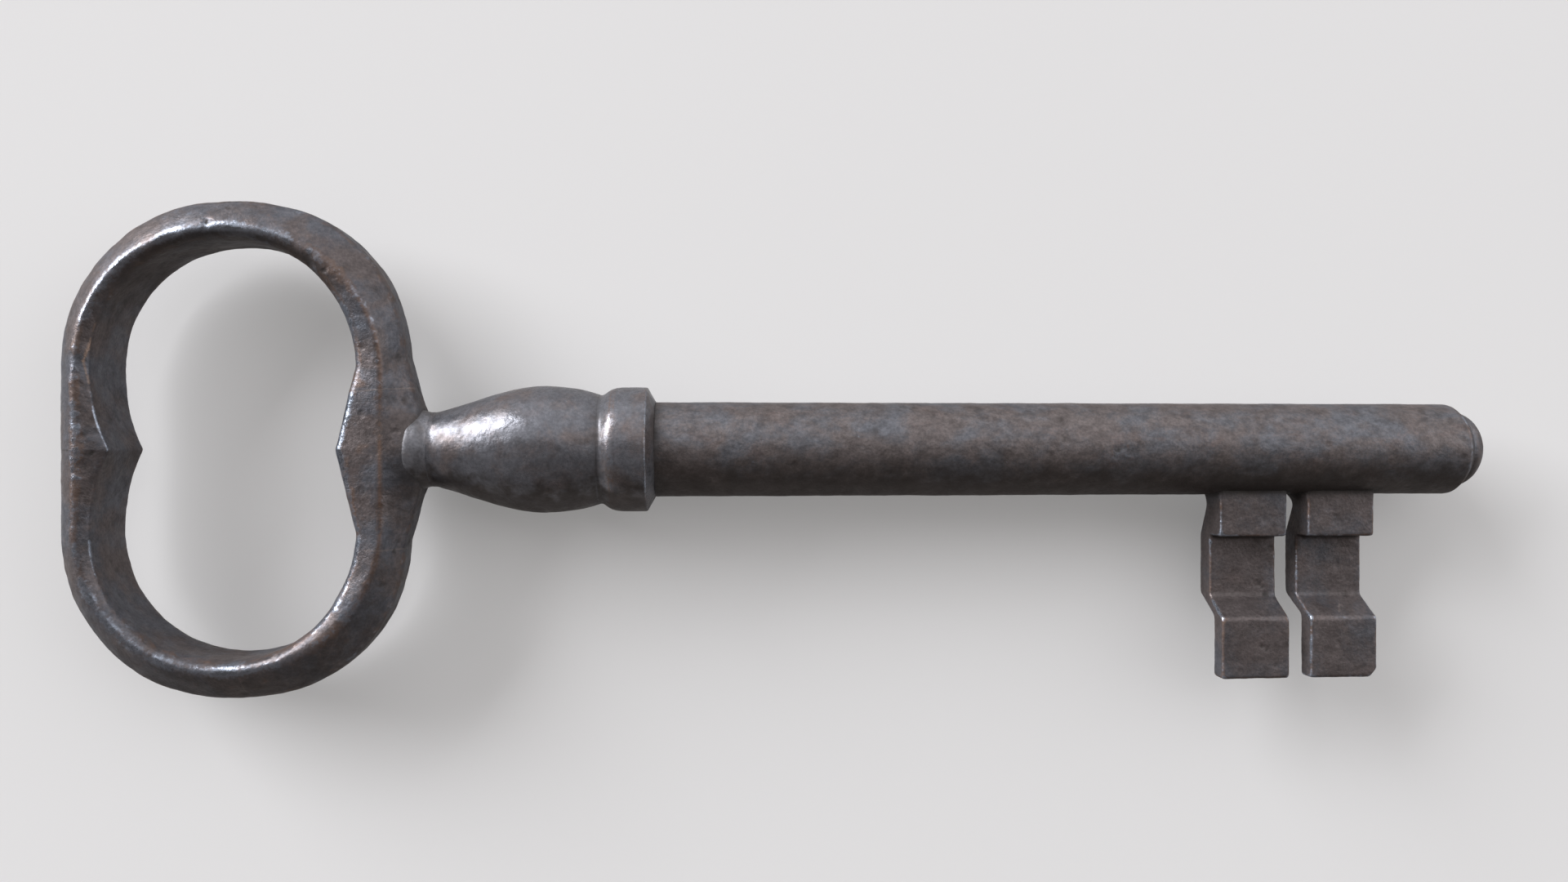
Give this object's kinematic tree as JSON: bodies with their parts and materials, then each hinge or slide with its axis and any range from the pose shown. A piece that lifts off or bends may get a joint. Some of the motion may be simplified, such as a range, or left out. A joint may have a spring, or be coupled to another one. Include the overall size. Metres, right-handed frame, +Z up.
{
  "type": "iron door key",
  "caption": "Antique forged iron key with an oval ring bow, turned baluster and stop collar, round shank with bullet nose, and a zigzag bit of slotted leaves.",
  "frame": {"origin": "middle of the key's box at its lowest point, on the surface that the key lies on, with Y = 0 on the axis of the shank", "axes": "+X along the shank from bow to nose, +Y away from the bit in the plane of the bow, +Z up from the surface that the key lies on"},
  "size_m": [0.1436, 0.0484, 0.0127],
  "materials": {
    "bar_iron": "dark forged iron, pitted, with brown rust stain",
    "turned_iron": "dark iron, handled smooth, with bright worn spots",
    "forged_iron": "dark hammered iron, with bright ridges and rust along the edges",
    "bit_iron": "dark filed iron, pitted, with edges worn bright"
  },
  "bodies": {
    "root": {"shank": "bar_iron", "collar": "turned_iron", "baluster": "turned_iron", "neck_bead": "turned_iron", "bow": "forged_iron", "bow_pin": "forged_iron", "inner_bit_leaf": "bit_iron", "outer_bit_leaf": "bit_iron"}
  },
  "joints": []
}
